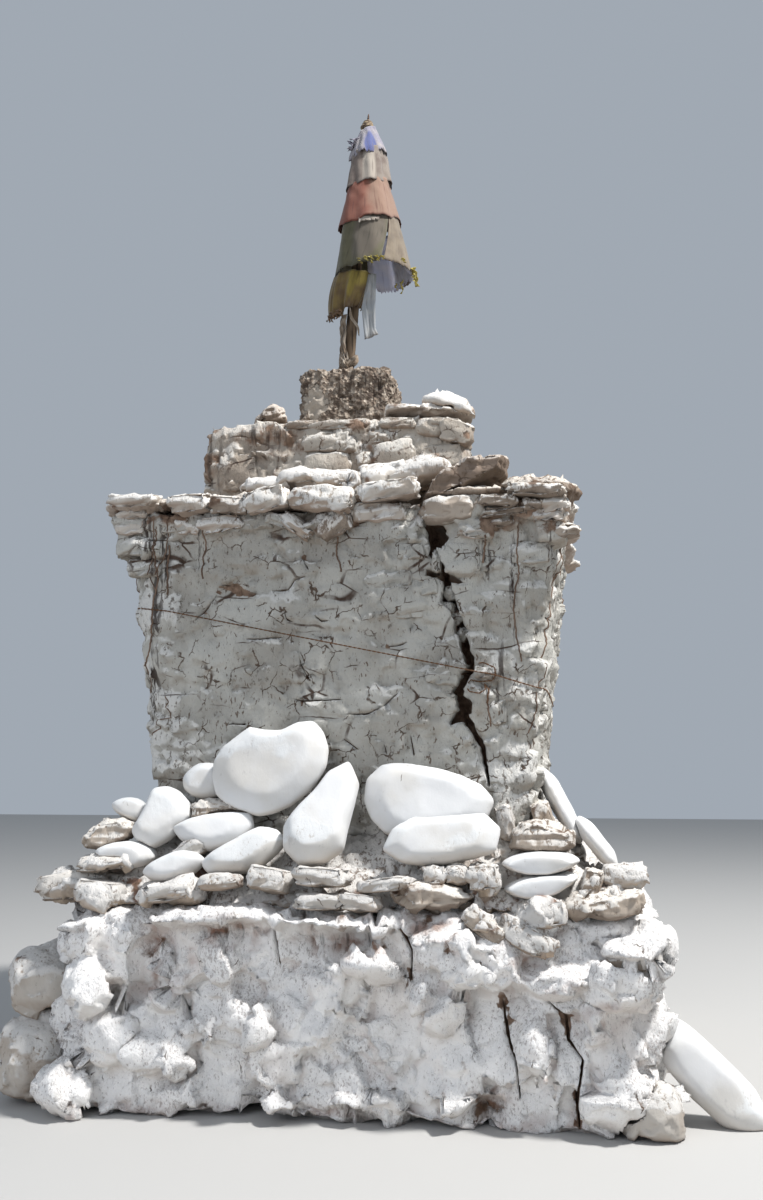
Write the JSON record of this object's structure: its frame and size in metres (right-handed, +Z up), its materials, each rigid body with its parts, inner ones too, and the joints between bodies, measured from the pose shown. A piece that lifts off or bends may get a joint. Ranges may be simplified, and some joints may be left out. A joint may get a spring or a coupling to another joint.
{
  "type": "small whitewashed stupa with a flag pole",
  "caption": "Weathered whitewashed stupa of rubble: plinth heaped with white stones, flaring cracked shaft, slab cornice, tier, mud-brick block and leaning pole hung with faded flags.",
  "frame": {"origin": "on the ground under the shaft, level with the plinth's flat foot", "axes": "+Z up, -Y towards the front with the crack and the heap of stones, +X to the right seen from there"},
  "size_m": [3.6656, 3.0885, 5.7939],
  "materials": {
    "whitewashed_rubble": "rough, lime wash over rubble",
    "whitewashed_stone": "smooth, thick lime wash",
    "bare_stone": "rough, weathered, partly washed",
    "mud_brick": "rough, weathered",
    "weathered_wood": "weathered, grey",
    "rusted_iron": "dull, rusted",
    "twine": "twisted fibre",
    "blue_cotton": "faded cotton",
    "white_cotton": "faded cotton",
    "red_cotton": "faded cotton",
    "green_cotton": "faded cotton",
    "beige_cotton": "faded cotton",
    "yellow_cotton": "faded cotton"
  },
  "bodies": {
    "root": {"plinth": "whitewashed_rubble", "body": "whitewashed_rubble", "upper_tier": "whitewashed_rubble", "flag_pole": "weathered_wood", "crown_block": "mud_brick", "ledge_bank": "whitewashed_rubble", "cornice_slab_front_1": "whitewashed_stone", "cornice_slab_front_2": "whitewashed_stone", "cornice_slab_front_3": "whitewashed_stone", "cornice_slab_front_4": "whitewashed_stone", "cornice_slab_front_5": "whitewashed_stone", "cornice_slab_front_6": "whitewashed_stone", "cornice_row_back": "whitewashed_stone", "cornice_row_left": "whitewashed_stone", "cornice_row_right": "whitewashed_stone", "long_brown_stone": "bare_stone", "brown_slab": "bare_stone", "lens_stone_lower": "whitewashed_stone", "lens_stone_upper": "whitewashed_stone", "oval_stone_front": "whitewashed_stone", "wedge_stone": "whitewashed_stone", "left_oval_low": "whitewashed_stone", "left_oval_long": "whitewashed_stone", "left_shadow_slab": "whitewashed_stone", "left_oval_high": "whitewashed_stone", "left_tall_stone": "whitewashed_stone", "left_faceted_stone": "bare_stone", "left_grey_stone": "bare_stone", "left_pointed_stone": "whitewashed_stone", "hollow_top_stone": "whitewashed_stone", "small_round_stone": "whitewashed_stone", "oval_stone_back": "whitewashed_stone", "rough_grey_stone": "bare_stone", "leaning_slab_near": "whitewashed_stone", "leaning_slab_far": "whitewashed_stone", "tilted_slab": "bare_stone", "fallen_slab_1": "whitewashed_stone", "fallen_slab_2": "whitewashed_stone", "fallen_slab_3": "whitewashed_stone", "tier_coping_1": "bare_stone", "tier_coping_2": "whitewashed_stone", "tier_stone": "bare_stone", "foot_boulder_low": "whitewashed_stone", "foot_boulder_high": "whitewashed_stone", "foot_stone_right": "whitewashed_stone", "foot_slab_right": "whitewashed_stone", "pole_cap": "rusted_iron", "pole_spike": "rusted_iron", "flag_blue": "blue_cotton", "flag_white": "white_cotton", "flag_red": "red_cotton", "flag_green": "green_cotton", "flag_yellow": "yellow_cotton", "pole_wrap": "beige_cotton", "flag_beige": "beige_cotton", "flag_tail": "beige_cotton", "rope_knot": "twine", "binding_rope": "twine"}
  },
  "joints": []
}
